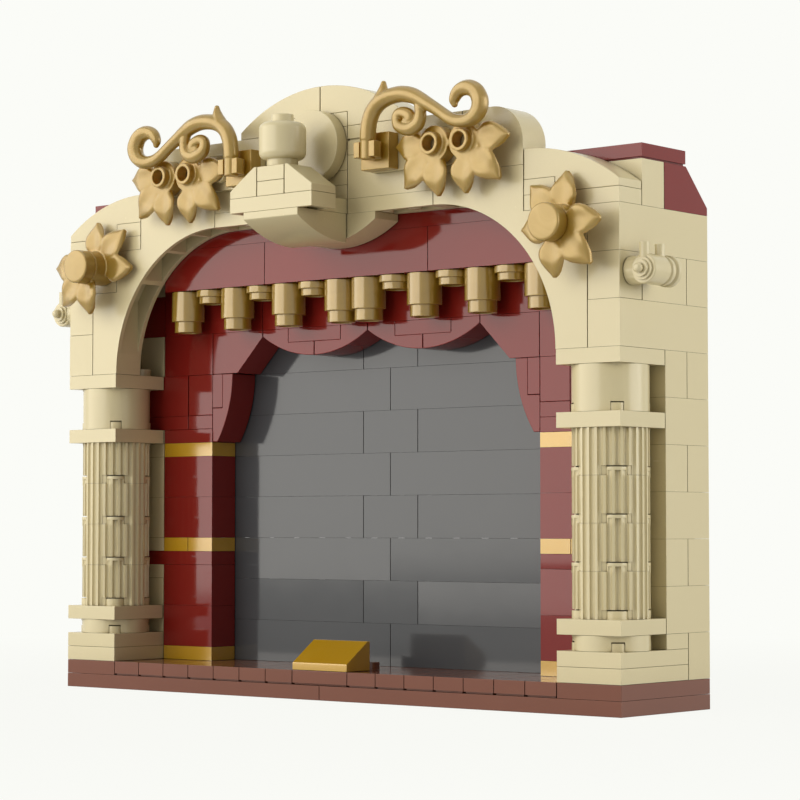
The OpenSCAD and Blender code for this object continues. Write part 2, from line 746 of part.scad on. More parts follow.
module curtain_bricks() color(red) both() {
    for (z = [floor_z + 1, floor_z + 1 + brick, course(3), course(4), capital_top])
        place(leg_x, curtain_row, z) block(2, 1, brick);
    place(leg_x + 1, curtain_row, course(6)) block(2, 1, brick);
}

module curtain_plates() color(red) both() {
    place(leg_x, curtain_row, course(3) - 2) block(3, 1, 1);
    place(leg_x, curtain_row, shaft_top) block(2, 1, 1);
    place(leg_x, curtain_row, shaft_top + 1) block(1, 1, 1);
    place(leg_x + 1, curtain_row, shaft_top + 1) block(2, 1, 1);
}

module drape_stud_bricks() color(red) both() place(leg_x, curtain_row, course(6)) turned(-90) stud_brick();

module drape_filler_plates() color(red) both() {
    place(leg_x, curtain_row, capital_top - pitch_level) rotate([0, -90, 0]) block(1, 1, 1);
    place(swag_x - 1, curtain_row, swag_top - 1) block(2, 1, 1);
}

module half_bows() color(red) both() {
    place(leg_x, curtain_row + 1, capital_top) rotate([0, 90, 180]) bow(2, 2, 1);
    place(swag_x, curtain_row, swag_top) rotate([0, 180, 0]) hanging_bow(2, 2, 1);
    place(swag_x, curtain_row + 1, swag_top) rotate([180, 0, 0]) hanging_bow(2, 2, 1);
}

module drape_corner_slopes() color(red) both() place(arch_x, curtain_row, capital_top) {
    h = brick * plate_h - stack_gap;
    l = 2 * pitch - side_gap;
    translate([0, side_gap, 0]) side_profile(pitch - 2 * side_gap)
        polygon([[pitch, 0], [l, 0], [l, h], [side_gap, h], [side_gap, h - lip_t]]);
    studs(2, 1, h);
}

module header_bricks() color(red) {
    both() place(arch_x - 1, header_row, fringe_top) block(arch_count, 1, brick);
    place(1 - arch_x, header_row, fringe_top) block(2 * arch_x - 2, 1, brick);
    both() place(1, header_row, eaves_z) block(leg_x, 1, brick);
    place(-1, header_row, eaves_z) block(2, 1, brick);
}

module fringe_tassels_long() color(gilt) both()
    for (x = [0 : 2 : leg_x]) place(x, header_row, swag_top) tassel(brick);

module fringe_tassels_short() color(gilt) both()
    for (x = [1 : 2 : leg_x]) place(x, header_row, fringe_top - 1) tassel(1);

module valance_backing() color(red) {
    place(-arch_x, curtain_row, swag_top) block(2 * arch_x, 1, brick);
    both() {
        place(arch_x, curtain_row, swag_top) block(arch_count, 1, brick);
        place(wall_x, curtain_row, swag_top) block(1, 1, brick);
        place(0, curtain_row, fringe_top) block(wall_x, 1, brick);
    }
}

module rear_wall_bricks() color(grey) {
    for (z = [floor_z : 2 * brick : fringe_top - 1]) both() place(0, rear_row, z) block(wall_x, 1, brick);
    for (z = [floor_z + brick : 2 * brick : fringe_top]) {
        both() {
            place(1, rear_row, z) block(wall_x - 2, 1, brick);
            place(wall_x - 1, rear_row, z) block(1, 1, brick);
        }
        place(-1, rear_row, z) block(2, 1, brick);
    }
}

// A sloped roof piece: a studded ridge and a slope that falls to the back
module roof_slope(nx) {
    h = brick * plate_h - stack_gap;
    d = 2 * pitch - side_gap;
    inner_w = nx * pitch - 2 * wall_t;
    low_h = socket_h - 0.1;
    difference() {
        translate([side_gap, 0, 0]) rotate([90, 0, 90]) linear_extrude(nx * pitch - 2 * side_gap)
            polygon([[side_gap, 0], [d, 0], [d, lip_t], [pitch, h], [side_gap, h]]);
        translate([wall_t, wall_t, -1]) cube([inner_w, pitch - wall_t, h - roof_t + 1]);
        translate([wall_t, pitch - 1, -1]) cube([inner_w, pitch + 1 - wall_t, low_h + 1]);
    }
    for (i = [1 : nx - 1]) translate([i * pitch, pitch, 0]) difference() {
        cylinder(r = tube_r, h = low_h + bite);
        translate([0, 0, -1]) cylinder(d = stud_d, h = low_h + 1);
    }
    studs(nx, 1, h);
}

module roof_slopes() color(red) {
    wide = 2 * half_count / roof_count;
    for (i = [0 : roof_count - 1]) place(i * wide - half_count, curtain_row, eaves_z) roof_slope(wide);
}

module roof_cap_tiles() color(red) both() place(0, header_row, arch_top) tile(half_count, 2);

module gable_bricks() color(tan) both() place(shoulder_x, header_row, eaves_z) block(3, 1, brick);

base_plates();
stage_corner_plates();
stage_tiles();
stage_rear_plates();
stage_seat_plates();
stage_centre_tile();
prompter_box();
column_plinths();
column_base_rounds();
column_square_plates();
fluted_column_bricks();
column_drums();
side_wall_bricks();
side_wall_plates();
upper_wall_bricks();
ornament_stud_bricks();
arch_left();
arch_right();
shoulder_plates();
curved_slopes();
rounded_top_blocks();
crown_plates();
crown_centre_plate();
lintel_bricks();
lintel_fillers();
ornament_brackets();
frieze_plates();
frieze_tiles();
centre_boss_brick();
centre_disc();
bust_front_slope();
crown_half_bows();
bust_base_plate();
bust_cheek_slopes();
bust_torso_plates();
bust_head();
vine_clips();
vine_left();
vine_right();
leaf_sprigs();
flower_left();
flower_right();
side_fitting_left();
side_fitting_right();
curtain_gold_plates();
curtain_bricks();
curtain_plates();
drape_stud_bricks();
drape_filler_plates();
half_bows();
drape_corner_slopes();
header_bricks();
fringe_tassels_long();
fringe_tassels_short();
valance_backing();
rear_wall_bricks();
roof_slopes();
roof_cap_tiles();
gable_bricks();
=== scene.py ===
import math

import bpy
from mathutils import Matrix, Vector


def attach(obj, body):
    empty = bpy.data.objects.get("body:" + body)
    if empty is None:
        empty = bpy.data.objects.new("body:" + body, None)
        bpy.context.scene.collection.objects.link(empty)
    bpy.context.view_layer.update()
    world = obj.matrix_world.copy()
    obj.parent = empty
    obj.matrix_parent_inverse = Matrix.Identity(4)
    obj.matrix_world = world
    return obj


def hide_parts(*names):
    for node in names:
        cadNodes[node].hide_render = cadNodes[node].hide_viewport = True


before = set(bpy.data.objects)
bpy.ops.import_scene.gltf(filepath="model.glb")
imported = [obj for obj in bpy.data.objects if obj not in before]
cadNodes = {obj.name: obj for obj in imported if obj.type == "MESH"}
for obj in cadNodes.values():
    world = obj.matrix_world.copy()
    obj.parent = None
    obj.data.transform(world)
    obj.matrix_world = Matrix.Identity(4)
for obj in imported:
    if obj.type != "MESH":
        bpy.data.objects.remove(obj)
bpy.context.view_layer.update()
mm = 0.001
print("theatre: frame loaded,", len(cadNodes), "nodes")


# Small helpers for node trees

def put(tree, kind, inputs=None, **settings):
    # adds a node, sets its options, then links or sets its inputs
    node = tree.nodes.new(kind)
    for key, value in settings.items():
        setattr(node, key, value)
    for socket, value in (inputs or {}).items():
        if isinstance(value, bpy.types.NodeSocket):
            tree.links.new(value, node.inputs[socket])
        else:
            node.inputs[socket].default_value = value
    return node


def sums(tree, operation, first, second, clamp=False):
    node = put(tree, "ShaderNodeMath", {0: first, 1: second}, operation=operation, use_clamp=clamp)
    return node.outputs[0]


def vectorSums(tree, operation, inputs, result=0):
    return put(tree, "ShaderNodeVectorMath", inputs, operation=operation).outputs[result]


def remap(tree, value, fromLow, fromHigh, toLow, toHigh):
    # a straight ramp, held at both ends
    node = put(tree, "ShaderNodeMapRange", {"Value": value, "From Min": fromLow, "From Max": fromHigh,
                                            "To Min": toLow, "To Max": toHigh})
    return node.outputs["Result"]


def noise(tree, place, scale, detail, roughness=0.5, distortion=0.0):
    node = put(tree, "ShaderNodeTexNoise", {"Vector": place, "Scale": scale, "Detail": detail,
                                            "Roughness": roughness, "Distortion": distortion})
    return node.outputs["Fac"]


def blendColours(tree, share, first, second):
    node = put(tree, "ShaderNodeMix", {0: share, 6: first, 7: second}, data_type="RGBA")
    return node.outputs[2]


def bump(tree, height, depth, normal, invert=False):
    node = put(tree, "ShaderNodeBump", {"Strength": 1.0, "Distance": depth, "Height": height,
                                        "Normal": normal}, invert=invert)
    return node.outputs[0]


def shaderGroup(name, inputs, outputs):
    group = bpy.data.node_groups.new(name, "ShaderNodeTree")
    for label, kind, value in inputs:
        socket = group.interface.new_socket(name=label, in_out="INPUT", socket_type=kind)
        if value is not None:
            socket.default_value = value
    for label, kind in outputs:
        group.interface.new_socket(name=label, in_out="OUTPUT", socket_type=kind)
    return group, put(group, "NodeGroupInput").outputs, put(group, "NodeGroupOutput").inputs


def useGroup(tree, group, inputs):
    return put(tree, "ShaderNodeGroup", inputs, node_tree=group).outputs


def rgb(colour):
    return (*colour, 1.0)


# Camera, at the photograph's place and angle

cameraView = {
    "place": (0.37098, -0.43119, 0.03722),
    "right": (0.76643, 0.64232, 0.0),
    "up": (0.032415, -0.038678, 0.998726),
    "lens": 114.8,
    "sensor": 36,
}


def makeCamera():
    data = bpy.data.cameras.new("photoCamera")
    data.lens = cameraView["lens"]
    data.sensor_width = cameraView["sensor"]
    camera = bpy.data.objects.new("photoCamera", data)
    bpy.context.scene.collection.objects.link(camera)
    right = Vector(cameraView["right"]).normalized()
    up = Vector(cameraView["up"]).normalized()
    back = right.cross(up)
    turn = Matrix((right, up, back)).transposed().to_4x4()
    camera.matrix_world = Matrix.Translation(cameraView["place"]) @ turn
    bpy.context.scene.camera = camera


makeCamera()
print("theatre: camera set")


# Soft studio light: a wide softbox at the left front, a weaker one at the right back, one overhead

softboxes = {
    "keySoftbox": {
        "place": (-0.42, -0.69, 0.27), "aim": (0, 0, 0.05), "size": (1.3, 0.80), "watts": 8.0,
        "tint": (1.0, 0.96, 0.89),
    },
    "fillSoftbox": {
        "place": (0.70, 0.31, 0.21), "aim": (0, 0, 0.05), "size": (0.62, 0.50), "watts": 3.1,
        "tint": (1.0, 0.97, 0.90),
    },
    "topSoftbox": {
        "place": (0.05, -0.12, 0.85), "aim": (0, 0, 0.06), "size": (0.7, 0.7), "watts": 0.8,
        "tint": (1.0, 0.97, 0.92),
    },
}
studio = {
    "skyFill": 0.22, "backdrop": (0.965, 0.972, 0.932), "floorReach": 6.0, "floorTone": 0.65,
    "shadowShare": 0.05, "shadowCore": 0.12, "shadowReach": 0.34,
}


def makeSoftbox(name, box):
    data = bpy.data.lights.new(name, "AREA")
    data.shape = "RECTANGLE"
    data.size, data.size_y = box["size"]
    data.energy = box["watts"]
    data.color = box["tint"]
    lamp = bpy.data.objects.new(name, data)
    bpy.context.scene.collection.objects.link(lamp)
    place = Vector(box["place"])
    facing = (Vector(box["aim"]) - place).to_track_quat("-Z", "Y")
    lamp.matrix_world = Matrix.Translation(place) @ facing.to_matrix().to_4x4()
    lamp.visible_camera = False


def seenDirectly(tree):
    # one for camera, mirror and glass rays, zero for rays that only carry light
    path = put(tree, "ShaderNodeLightPath").outputs
    seen = sums(tree, "ADD", path["Is Camera Ray"], path["Is Glossy Ray"], True)
    return sums(tree, "ADD", seen, path["Is Transmission Ray"], True)


def makeSky():
    # white where it is looked at or mirrored, dimmer where it lights the piece
    world = bpy.data.worlds.new("studioSky")
    bpy.context.scene.world = world
    world.use_nodes = True
    tree = world.node_tree
    tree.nodes.clear()
    seen = seenDirectly(tree)
    dim = put(tree, "ShaderNodeBackground", {"Color": rgb((1, 1, 1)), "Strength": studio["skyFill"]})
    white = put(tree, "ShaderNodeBackground", {"Color": rgb(studio["backdrop"]), "Strength": 1.0})
    mixed = put(tree, "ShaderNodeMixShader", {0: seen, 1: dim.outputs[0], 2: white.outputs[0]})
    put(tree, "ShaderNodeOutputWorld", {"Surface": mixed.outputs[0]})


def makeFloor():
    reach = studio["floorReach"]
    corners = [(-reach, -reach, 0), (reach, -reach, 0), (reach, reach, 0), (-reach, reach, 0)]
    mesh = bpy.data.meshes.new("studioFloor")
    mesh.from_pydata(corners, [], [(0, 1, 2, 3)])
    floor = bpy.data.objects.new("studioFloor", mesh)
    bpy.context.scene.collection.objects.link(floor)
    material = bpy.data.materials.new("paleFloor")
    material.use_nodes = True
    tree = material.node_tree
    tree.nodes.clear()
    # the shadow is kept near the piece and fades into plain white further out
    place = put(tree, "ShaderNodeTexCoord").outputs["Object"]
    distance = vectorSums(tree, "LENGTH", {0: place}, "Value")
    lit = remap(tree, distance, studio["shadowCore"], studio["shadowReach"], studio["shadowShare"], 0.0)
    seen = seenDirectly(tree)
    tone = studio["floorTone"]
    paint = put(tree, "ShaderNodeBsdfDiffuse", {"Color": rgb((tone, tone, tone))}).outputs[0]
    glow = put(tree, "ShaderNodeEmission", {"Color": rgb(studio["backdrop"]), "Strength": 1.0}).outputs[0]
    shown = put(tree, "ShaderNodeMixShader", {0: lit, 1: glow, 2: paint}).outputs[0]
    mixed = put(tree, "ShaderNodeMixShader", {0: seen, 1: paint, 2: shown}).outputs[0]
    put(tree, "ShaderNodeOutputMaterial", {"Surface": mixed})
    mesh.materials.append(material)


for boxName, box in softboxes.items():
    makeSoftbox(boxName, box)
makeSky()
makeFloor()
bpy.context.scene.view_settings.view_transform = "Standard"
print("theatre: studio lit")


# Surface effects shared by the plastics

flowLook = {
    "waveSize": 0.012, "waveDetail": 1.5, "waveRoughness": 0.4,
    "grainSize": 0.0003, "grainDetail": 2.0, "grainRoughness": 0.6,
    "driftScale": 55.0, "driftDetail": 3.0, "driftRoughness": 0.55,
    "driftShare": 0.6, "pieceShare": 0.4, "pieceShift": 3.7,
}


def mouldFlowGroup():
    # slow waves left by the mould, a fine grain, and a tone that drifts within and between pieces
    look = flowLook
    group, given, result = shaderGroup(
        "mouldFlow",
        [("Place", "NodeSocketVector", None), ("Piece", "NodeSocketFloat", 0.0),
         ("Wave Size", "NodeSocketFloat", look["waveSize"]),
         ("Grain Size", "NodeSocketFloat", look["grainSize"])],
        [("Tone", "NodeSocketFloat"), ("Height", "NodeSocketFloat"), ("Grain", "NodeSocketFloat")])
    shift = sums(group, "MULTIPLY", given["Piece"], look["pieceShift"])
    moved = vectorSums(group, "ADD", {0: given["Place"], 1: shift})
    waveScale = sums(group, "DIVIDE", 1.0, given["Wave Size"])
    grainScale = sums(group, "DIVIDE", 1.0, given["Grain Size"])
    waves = noise(group, moved, waveScale, look["waveDetail"], look["waveRoughness"])
    grain = noise(group, moved, grainScale, look["grainDetail"], look["grainRoughness"])
    drift = noise(group, moved, look["driftScale"], look["driftDetail"], look["driftRoughness"])
    within = sums(group, "MULTIPLY", drift, look["driftShare"])
    between = sums(group, "MULTIPLY", given["Piece"], look["pieceShare"])
    group.links.new(sums(group, "ADD", within, between), result["Tone"])
    group.links.new(waves, result["Height"])
    group.links.new(grain, result["Grain"])
    return group


wearLook = {
    "radius": 0.0004, "samples": 4, "startsAt": 0.995, "fullAt": 0.8,  # how far the two normals agree
    "patchScale": 420.0, "patchDetail": 3.0, "patchFrom": 0.35, "patchTo": 0.65, "least": 0.3,
}


def edgeWearGroup():
    # finds rounded edges by how far a widened normal turns from the face's own
    look = wearLook
    group, given, result = shaderGroup(
        "edgeWear",
        [("Radius", "NodeSocketFloat", look["radius"]), ("Amount", "NodeSocketFloat", 0.5),
         ("Place", "NodeSocketVector", None)],
        [("Wear", "NodeSocketFloat")])
    rounded = put(group, "ShaderNodeBevel", {"Radius": given["Radius"]}, samples=look["samples"]).outputs[0]
    own = put(group, "ShaderNodeNewGeometry").outputs["True Normal"]
    agree = vectorSums(group, "DOT_PRODUCT", {0: rounded, 1: own}, "Value")
    edge = remap(group, agree, look["startsAt"], look["fullAt"], 0.0, 1.0)
    patches = noise(group, given["Place"], look["patchScale"], look["patchDetail"])
    patchy = remap(group, patches, look["patchFrom"], look["patchTo"], look["least"], 1.0)
    broken = sums(group, "MULTIPLY", edge, patchy)
    group.links.new(sums(group, "MULTIPLY", broken, given["Amount"], True), result["Wear"])
    return group


markLook = {
    "hairlines": [  # turn, stretch
        ((0.3, 0.2, 0.5), (1500, 60, 900)),
        ((0.9, 0.4, -0.8), (70, 1300, 800)),
    ],
    "hairlineFrom": 0.70, "hairlineTo": 0.78,
    "dullScale": 160.0, "dullDetail": 4.0, "dullRoughness": 0.65, "dullFrom": 0.45, "dullTo": 0.75,
}


def handlingMarksGroup():
    # hairlines in two directions and a few dull patches, as on pieces that were pressed together
    look = markLook
    group, given, result = shaderGroup(
        "handlingMarks",
        [("Place", "NodeSocketVector", None), ("Amount", "NodeSocketFloat", 0.5)],
        [("Marks", "NodeSocketFloat"), ("Dull", "NodeSocketFloat")])
    lines = None
    for turn, stretch in look["hairlines"]:
        moved = put(group, "ShaderNodeMapping", {"Vector": given["Place"], "Rotation": turn,
                                                 "Scale": stretch}).outputs[0]
        streaks = noise(group, moved, 1.0, 1.0)
        line = remap(group, streaks, look["hairlineFrom"], look["hairlineTo"], 0.0, 1.0)
        lines = line if lines is None else sums(group, "MAXIMUM", lines, line)
    patches = noise(group, given["Place"], look["dullScale"], look["dullDetail"], look["dullRoughness"])
    dull = remap(group, patches, look["dullFrom"], look["dullTo"], 0.0, 1.0)
    group.links.new(sums(group, "MULTIPLY", lines, given["Amount"]), result["Marks"])
    group.links.new(sums(group, "MULTIPLY", dull, given["Amount"]), result["Dull"])
    return group


seamLook = {"reach": 0.0006, "share": 0.9, "samples": 4, "openAt": 0.75, "closedAt": 0.2}


def seamShadeGroup():
    # painted shade and dust in the seams between pieces, and with a longer reach painted shade in deep
    # hollows
    look = seamLook
    group, given, result = shaderGroup(
        "seamShade",
        [("Reach", "NodeSocketFloat", look["reach"]), ("Amount", "NodeSocketFloat", 0.5)],
        [("Shade", "NodeSocketFloat")])
    around = put(group, "ShaderNodeAmbientOcclusion", {"Distance": given["Reach"]}, samples=look["samples"])
    closed = remap(group, around.outputs["AO"], look["openAt"], look["closedAt"], 0.0, 1.0)
    group.links.new(sums(group, "MULTIPLY", closed, given["Amount"], True), result["Shade"])
    return group


pearlLook = {
    "size": 0.006, "detail": 3.0, "roughness": 0.5, "distortion": 1.6, "swirlFrom": 0.3, "swirlTo": 0.7,
    "pieceShift": 5.3, "flakeScale": 9000.0, "flakeMetal": 0.06,
}


def pearlSwirlGroup():
    # the flow lines of pearl pigment that the melt draws along a piece
    look = pearlLook
    group, given, result = shaderGroup(
        "pearlSwirl",
        [("Place", "NodeSocketVector", None), ("Piece", "NodeSocketFloat", 0.0),
         ("Size", "NodeSocketFloat", look["size"])],
        [("Swirl", "NodeSocketFloat"), ("Flake", "NodeSocketFloat")])
    shift = sums(group, "MULTIPLY", given["Piece"], look["pieceShift"])
    moved = vectorSums(group, "ADD", {0: given["Place"], 1: shift})
    scale = sums(group, "DIVIDE", 1.0, given["Size"])
    swirl = noise(group, moved, scale, look["detail"], look["roughness"], look["distortion"])
    flakes = put(group, "ShaderNodeTexVoronoi", {"Vector": moved, "Scale": look["flakeScale"]})
    flake = put(group, "ShaderNodeSeparateColor", {"Color": flakes.outputs["Color"]}).outputs[0]
    group.links.new(remap(group, swirl, look["swirlFrom"], look["swirlTo"], 0.0, 1.0), result["Swirl"])
    group.links.new(flake, result["Flake"])
    return group


def pieceTiltGroup():
    # each piece sits a hair off square, so mirrored shapes break at the seams
    group, given, result = shaderGroup(
        "pieceTilt",
        [("Piece", "NodeSocketFloat", 0.0), ("Tilt", "NodeSocketFloat", 0.01)],
        [("Normal", "NodeSocketVector")])
    dice = put(group, "ShaderNodeTexWhiteNoise", {"W": given["Piece"]}, noise_dimensions="1D")
    centred = vectorSums(group, "SUBTRACT", {0: dice.outputs["Color"], 1: (0.5, 0.5, 0.5)})
    lean = vectorSums(group, "SCALE", {0: centred, "Scale": given["Tilt"]})
    facing = put(group, "ShaderNodeNewGeometry").outputs["Normal"]
    leaned = vectorSums(group, "ADD", {0: facing, 1: lean})
    group.links.new(vectorSums(group, "NORMALIZE", {0: leaned}), result["Normal"])
    return group


mouldFlow = mouldFlowGroup()
edgeWear = edgeWearGroup()
handlingMarks = handlingMarksGroup()
seamShade = seamShadeGroup()
pearlSwirl = pearlSwirlGroup()
pieceTilt = pieceTiltGroup()
print("theatre: surface effects built")


# One finish for each colour of plastic. Colours are linear, depths and reaches are in metres.
# A coat is weight, roughness and IOR, and a glow is weight, depth and the reach of red, green and blue.
# A seam colour is painted shade and dust; a hollow shading colour is painted shade, and on the gold painted
# warm reflected light.

finishes = {
    "tan_plastic": {
        "name": "tanPlastic",
        "colour": (0.775, 0.68, 0.415), "deep": (0.74, 0.645, 0.38), "worn": (0.83, 0.74, 0.51),
        "seam": (0.15, 0.105, 0.045), "roughness": 0.24, "gloss": 0.5, "metal": 0.0,
        "wear": 0.30, "marks": 0.15, "waves": 0.000012, "tilt": 0.006,
        # painted shade: a darker colour where hollows and corners close in, within 22 mm
        "hollow": (0.35, 0.295, 0.165), "hollowReach": 0.022, "hollowShare": 0.6,
    },
    "reddish_brown_plastic": {
        "name": "reddishBrownPlastic",
        "colour": (0.235, 0.083, 0.048), "deep": (0.20, 0.068, 0.038), "worn": (0.32, 0.14, 0.09),
        "seam": (0.03, 0.010, 0.006), "roughness": 0.12, "gloss": 0.40, "metal": 0.0,
        "wear": 0.30, "marks": 0.22, "waves": 0.000016, "tilt": 0.008,
    },
    "old_gold_plastic": {
        "name": "oldGoldPlastic",
        "colour": (0.60, 0.345, 0.011), "deep": (0.56, 0.31, 0.009), "worn": (0.60, 0.40, 0.06),
        "seam": (0.10, 0.045, 0.003), "roughness": 0.22, "gloss": 0.45, "metal": 0.12,
        "wear": 0.30, "marks": 0.12, "waves": 0.000012, "tilt": 0.008,
        "pearl": 0.12, "coat": (1.0, 0.14, 1.6),
    },
    "pearl_gold_plastic": {
        "name": "pearlGoldPlastic",
        "colour": (0.352, 0.223, 0.030), "deep": (0.32, 0.194, 0.020), "worn": (0.49, 0.33, 0.09),
        "seam": (0.22, 0.10, 0.012), "roughness": 0.32, "gloss": 0.5, "metal": 0.25,
        "wear": 0.25, "marks": 0.15, "waves": 0.00001, "tilt": 0.0,
        "pearl": 0.35, "coat": (0.6, 0.28, 1.5), "glow": (0.22, 0.0025, (1.0, 0.45, 0.08)),
        # painted warm reflected light: a richer gold where hollows close in, within 6 mm
        "hollow": (0.45, 0.245, 0.008), "hollowReach": 0.006, "hollowShare": 1.0,
    },
    "dark_red_plastic": {
        "name": "darkRedPlastic",
        "colour": (0.238, 0.016, 0.0115), "deep": (0.208, 0.013, 0.0095), "worn": (0.30, 0.035, 0.028),
        "seam": (0.03, 0.002, 0.002), "roughness": 0.065, "gloss": 0.36, "metal": 0.0,
        "wear": 0.25, "marks": 0.22, "waves": 0.000022, "tilt": 0.022,
    },
    "bluish_grey_plastic": {
        "name": "bluishGreyPlastic",
        "colour": (0.082, 0.086, 0.092), "deep": (0.070, 0.074, 0.080), "worn": (0.16, 0.16, 0.16),
        "seam": (0.02, 0.02, 0.022), "roughness": 0.10, "gloss": 0.42, "metal": 0.0,
        "wear": 0.25, "marks": 0.25, "waves": 0.000022, "tilt": 0.020,
    },
}
plasticLook = {
    "ior": 1.53, "dullRoughness": 0.10, "markRoughness": 0.18,
    "grainDepth": 0.0000012, "markDepth": 0.000002,
}
plainSockets = {
    "coat": ("Coat Weight", "Coat Roughness", "Coat IOR"),
    "glow": ("Subsurface Weight", "Subsurface Scale", "Subsurface Radius"),
}


def plastic(finish):
    material = bpy.data.materials.new(finish["name"])
    material.use_nodes = True
    tree = material.node_tree
    tree.nodes.clear()
    place = put(tree, "ShaderNodeTexCoord").outputs["Object"]
    piece = put(tree, "ShaderNodeNewGeometry").outputs["Random Per Island"]
    flow = useGroup(tree, mouldFlow, {"Place": place, "Piece": piece})
    marks = useGroup(tree, handlingMarks, {"Place": place, "Amount": finish["marks"]})
    wear = useGroup(tree, edgeWear, {"Place": place, "Amount": finish["wear"]})
    seam = useGroup(tree, seamShade, {"Amount": seamLook["share"]})

    colour = blendColours(tree, flow["Tone"], rgb(finish["deep"]), rgb(finish["colour"]))
    dulled = sums(tree, "MULTIPLY", marks["Dull"], plasticLook["dullRoughness"])
    marked = sums(tree, "MULTIPLY", marks["Marks"], plasticLook["markRoughness"])
    roughness = sums(tree, "ADD", sums(tree, "ADD", finish["roughness"], dulled), marked)
    metal = None
    if "pearl" in finish:
        pearl = useGroup(tree, pearlSwirl, {"Place": place, "Piece": piece})
        warm = sums(tree, "MULTIPLY", pearl["Swirl"], finish["pearl"])
        colour = blendColours(tree, warm, colour, rgb(finish["worn"]))
        sparkle = sums(tree, "MULTIPLY", pearl["Flake"], pearlLook["flakeMetal"])
        metal = sums(tree, "ADD", finish["metal"] - pearlLook["flakeMetal"] / 2, sparkle)
    colour = blendColours(tree, wear["Wear"], colour, rgb(finish["worn"]))
    # painted shade and dust in the seams between pieces
    colour = blendColours(tree, seam["Shade"], colour, rgb(finish["seam"]))
    # painted shade in hollows and corners where the occlusion reaches; on the gold it is painted warm
    # reflected light instead
    if "hollow" in finish:
        hollow = useGroup(tree, seamShade, {"Reach": finish["hollowReach"], "Amount": finish["hollowShare"]})
        colour = blendColours(tree, hollow["Shade"], colour, rgb(finish["hollow"]))

    square = useGroup(tree, pieceTilt, {"Piece": piece, "Tilt": finish["tilt"]})["Normal"]
    waves = bump(tree, flow["Height"], finish["waves"], square)
    grain = bump(tree, flow["Grain"], plasticLook["grainDepth"], waves)
    scratched = bump(tree, marks["Marks"], plasticLook["markDepth"], grain, invert=True)
    shader = put(tree, "ShaderNodeBsdfPrincipled", {
        "Base Color": colour, "Roughness": roughness, "IOR": plasticLook["ior"],
        "Specular IOR Level": finish["gloss"], "Normal": scratched})
    if metal is not None:
        tree.links.new(metal, shader.inputs["Metallic"])
    for key, sockets in plainSockets.items():
        for socket, value in zip(sockets, finish.get(key, ())):
            shader.inputs[socket].default_value = value
    put(tree, "ShaderNodeOutputMaterial", {"Surface": shader.outputs[0]})
    return material


materials = {slotName: plastic(finish) for slotName, finish in finishes.items()}

# pieces set apart from their colour's finish: the fluted bricks get painted shade in their flutes, and the
# tassels their own colour and coat
flutedPaintedShadeFinish = {
    **finishes["tan_plastic"], "name": "flutedTanPlastic",
    # painted shade in the flutes, within 1.3 mm
    "hollow": (0.33, 0.255, 0.13), "hollowReach": 0.0013, "hollowShare": 0.75,
}
tasselFinish = {
    **finishes["old_gold_plastic"], "name": "tasselGoldPlastic",
    "colour": (0.37, 0.230, 0.028), "deep": (0.335, 0.205, 0.022), "coat": (0.9, 0.12, 1.55),
}
apart = {"fluted_column_bricks": plastic(flutedPaintedShadeFinish)}
apart["fringe_tassels_long"] = apart["fringe_tassels_short"] = plastic(tasselFinish)
print("theatre: materials built,", len(materials), "finishes,", len(apart), "pieces with their own")


# The pieces that keep their CAD shape get small rounded edges

edges = {
    "radius": 0.15 * mm, "segments": 2, "sharperThan": 32,  # degrees
    "weldWithin": 0.001 * mm, "flatWithin": 0.4, "shadeWeight": 100,
}


def roundEdges(piece):
    weld = piece.modifiers.new("joinCorners", "WELD")
    weld.merge_threshold = edges["weldWithin"]
    flat = piece.modifiers.new("joinFlatFaces", "DECIMATE")
    flat.decimate_type = "DISSOLVE"
    flat.angle_limit = math.radians(edges["flatWithin"])
    bevel = piece.modifiers.new("roundEdges", "BEVEL")
    bevel.width = edges["radius"]
    bevel.segments = edges["segments"]
    bevel.limit_method = "ANGLE"
    bevel.angle_limit = math.radians(edges["sharperThan"])
    bevel.miter_outer = "MITER_ARC"
    shade = piece.modifiers.new("evenShading", "WEIGHTED_NORMAL")
    shade.keep_sharp = False
    shade.weight = edges["shadeWeight"]


for nodeName, node in sorted(cadNodes.items()):
    slotName = node.material_slots[0].material.name.split(".")[0]
    node.material_slots[0].material = apart.get(nodeName, materials[slotName])
    roundEdges(node)
print("theatre: CAD pieces dressed")


# Gilt ornament: forms that grew together in one mould, fused by remeshing. Its lengths are in millimetres.

fusing = {"voxel": 0.17, "smoothing": 6, "smoothStep": 0.5}
tube = {
    "sides": 28, "endAngles": (30, 55, 75),
    "ridgeTurn": 125, "ridgeHeight": 0.10, "ridgeWidth": 0.22, "ridgeGrowth": 8,
}
latheSides = 56


def spline(a, b, c, d, t):
    squared, cubed = (2 * a - 5 * b + 4 * c - d) * t * t, (3 * b - a - 3 * c + d) * t * t * t
    return 0.5 * (2 * b + (c - a) * t + squared + cubed)


def smoothPath(points, steps):
    path = []
    last = len(points) - 1
    for i in range(last):
        near = [points[max(0, min(last, k))] for k in (i - 1, i, i + 1, i + 2)]
        for k in range(steps):
            path.append([spline(*[p[axis] for p in near], k / steps) for axis in range(len(points[0]))])
    path.append(list(points[-1]))
    return path


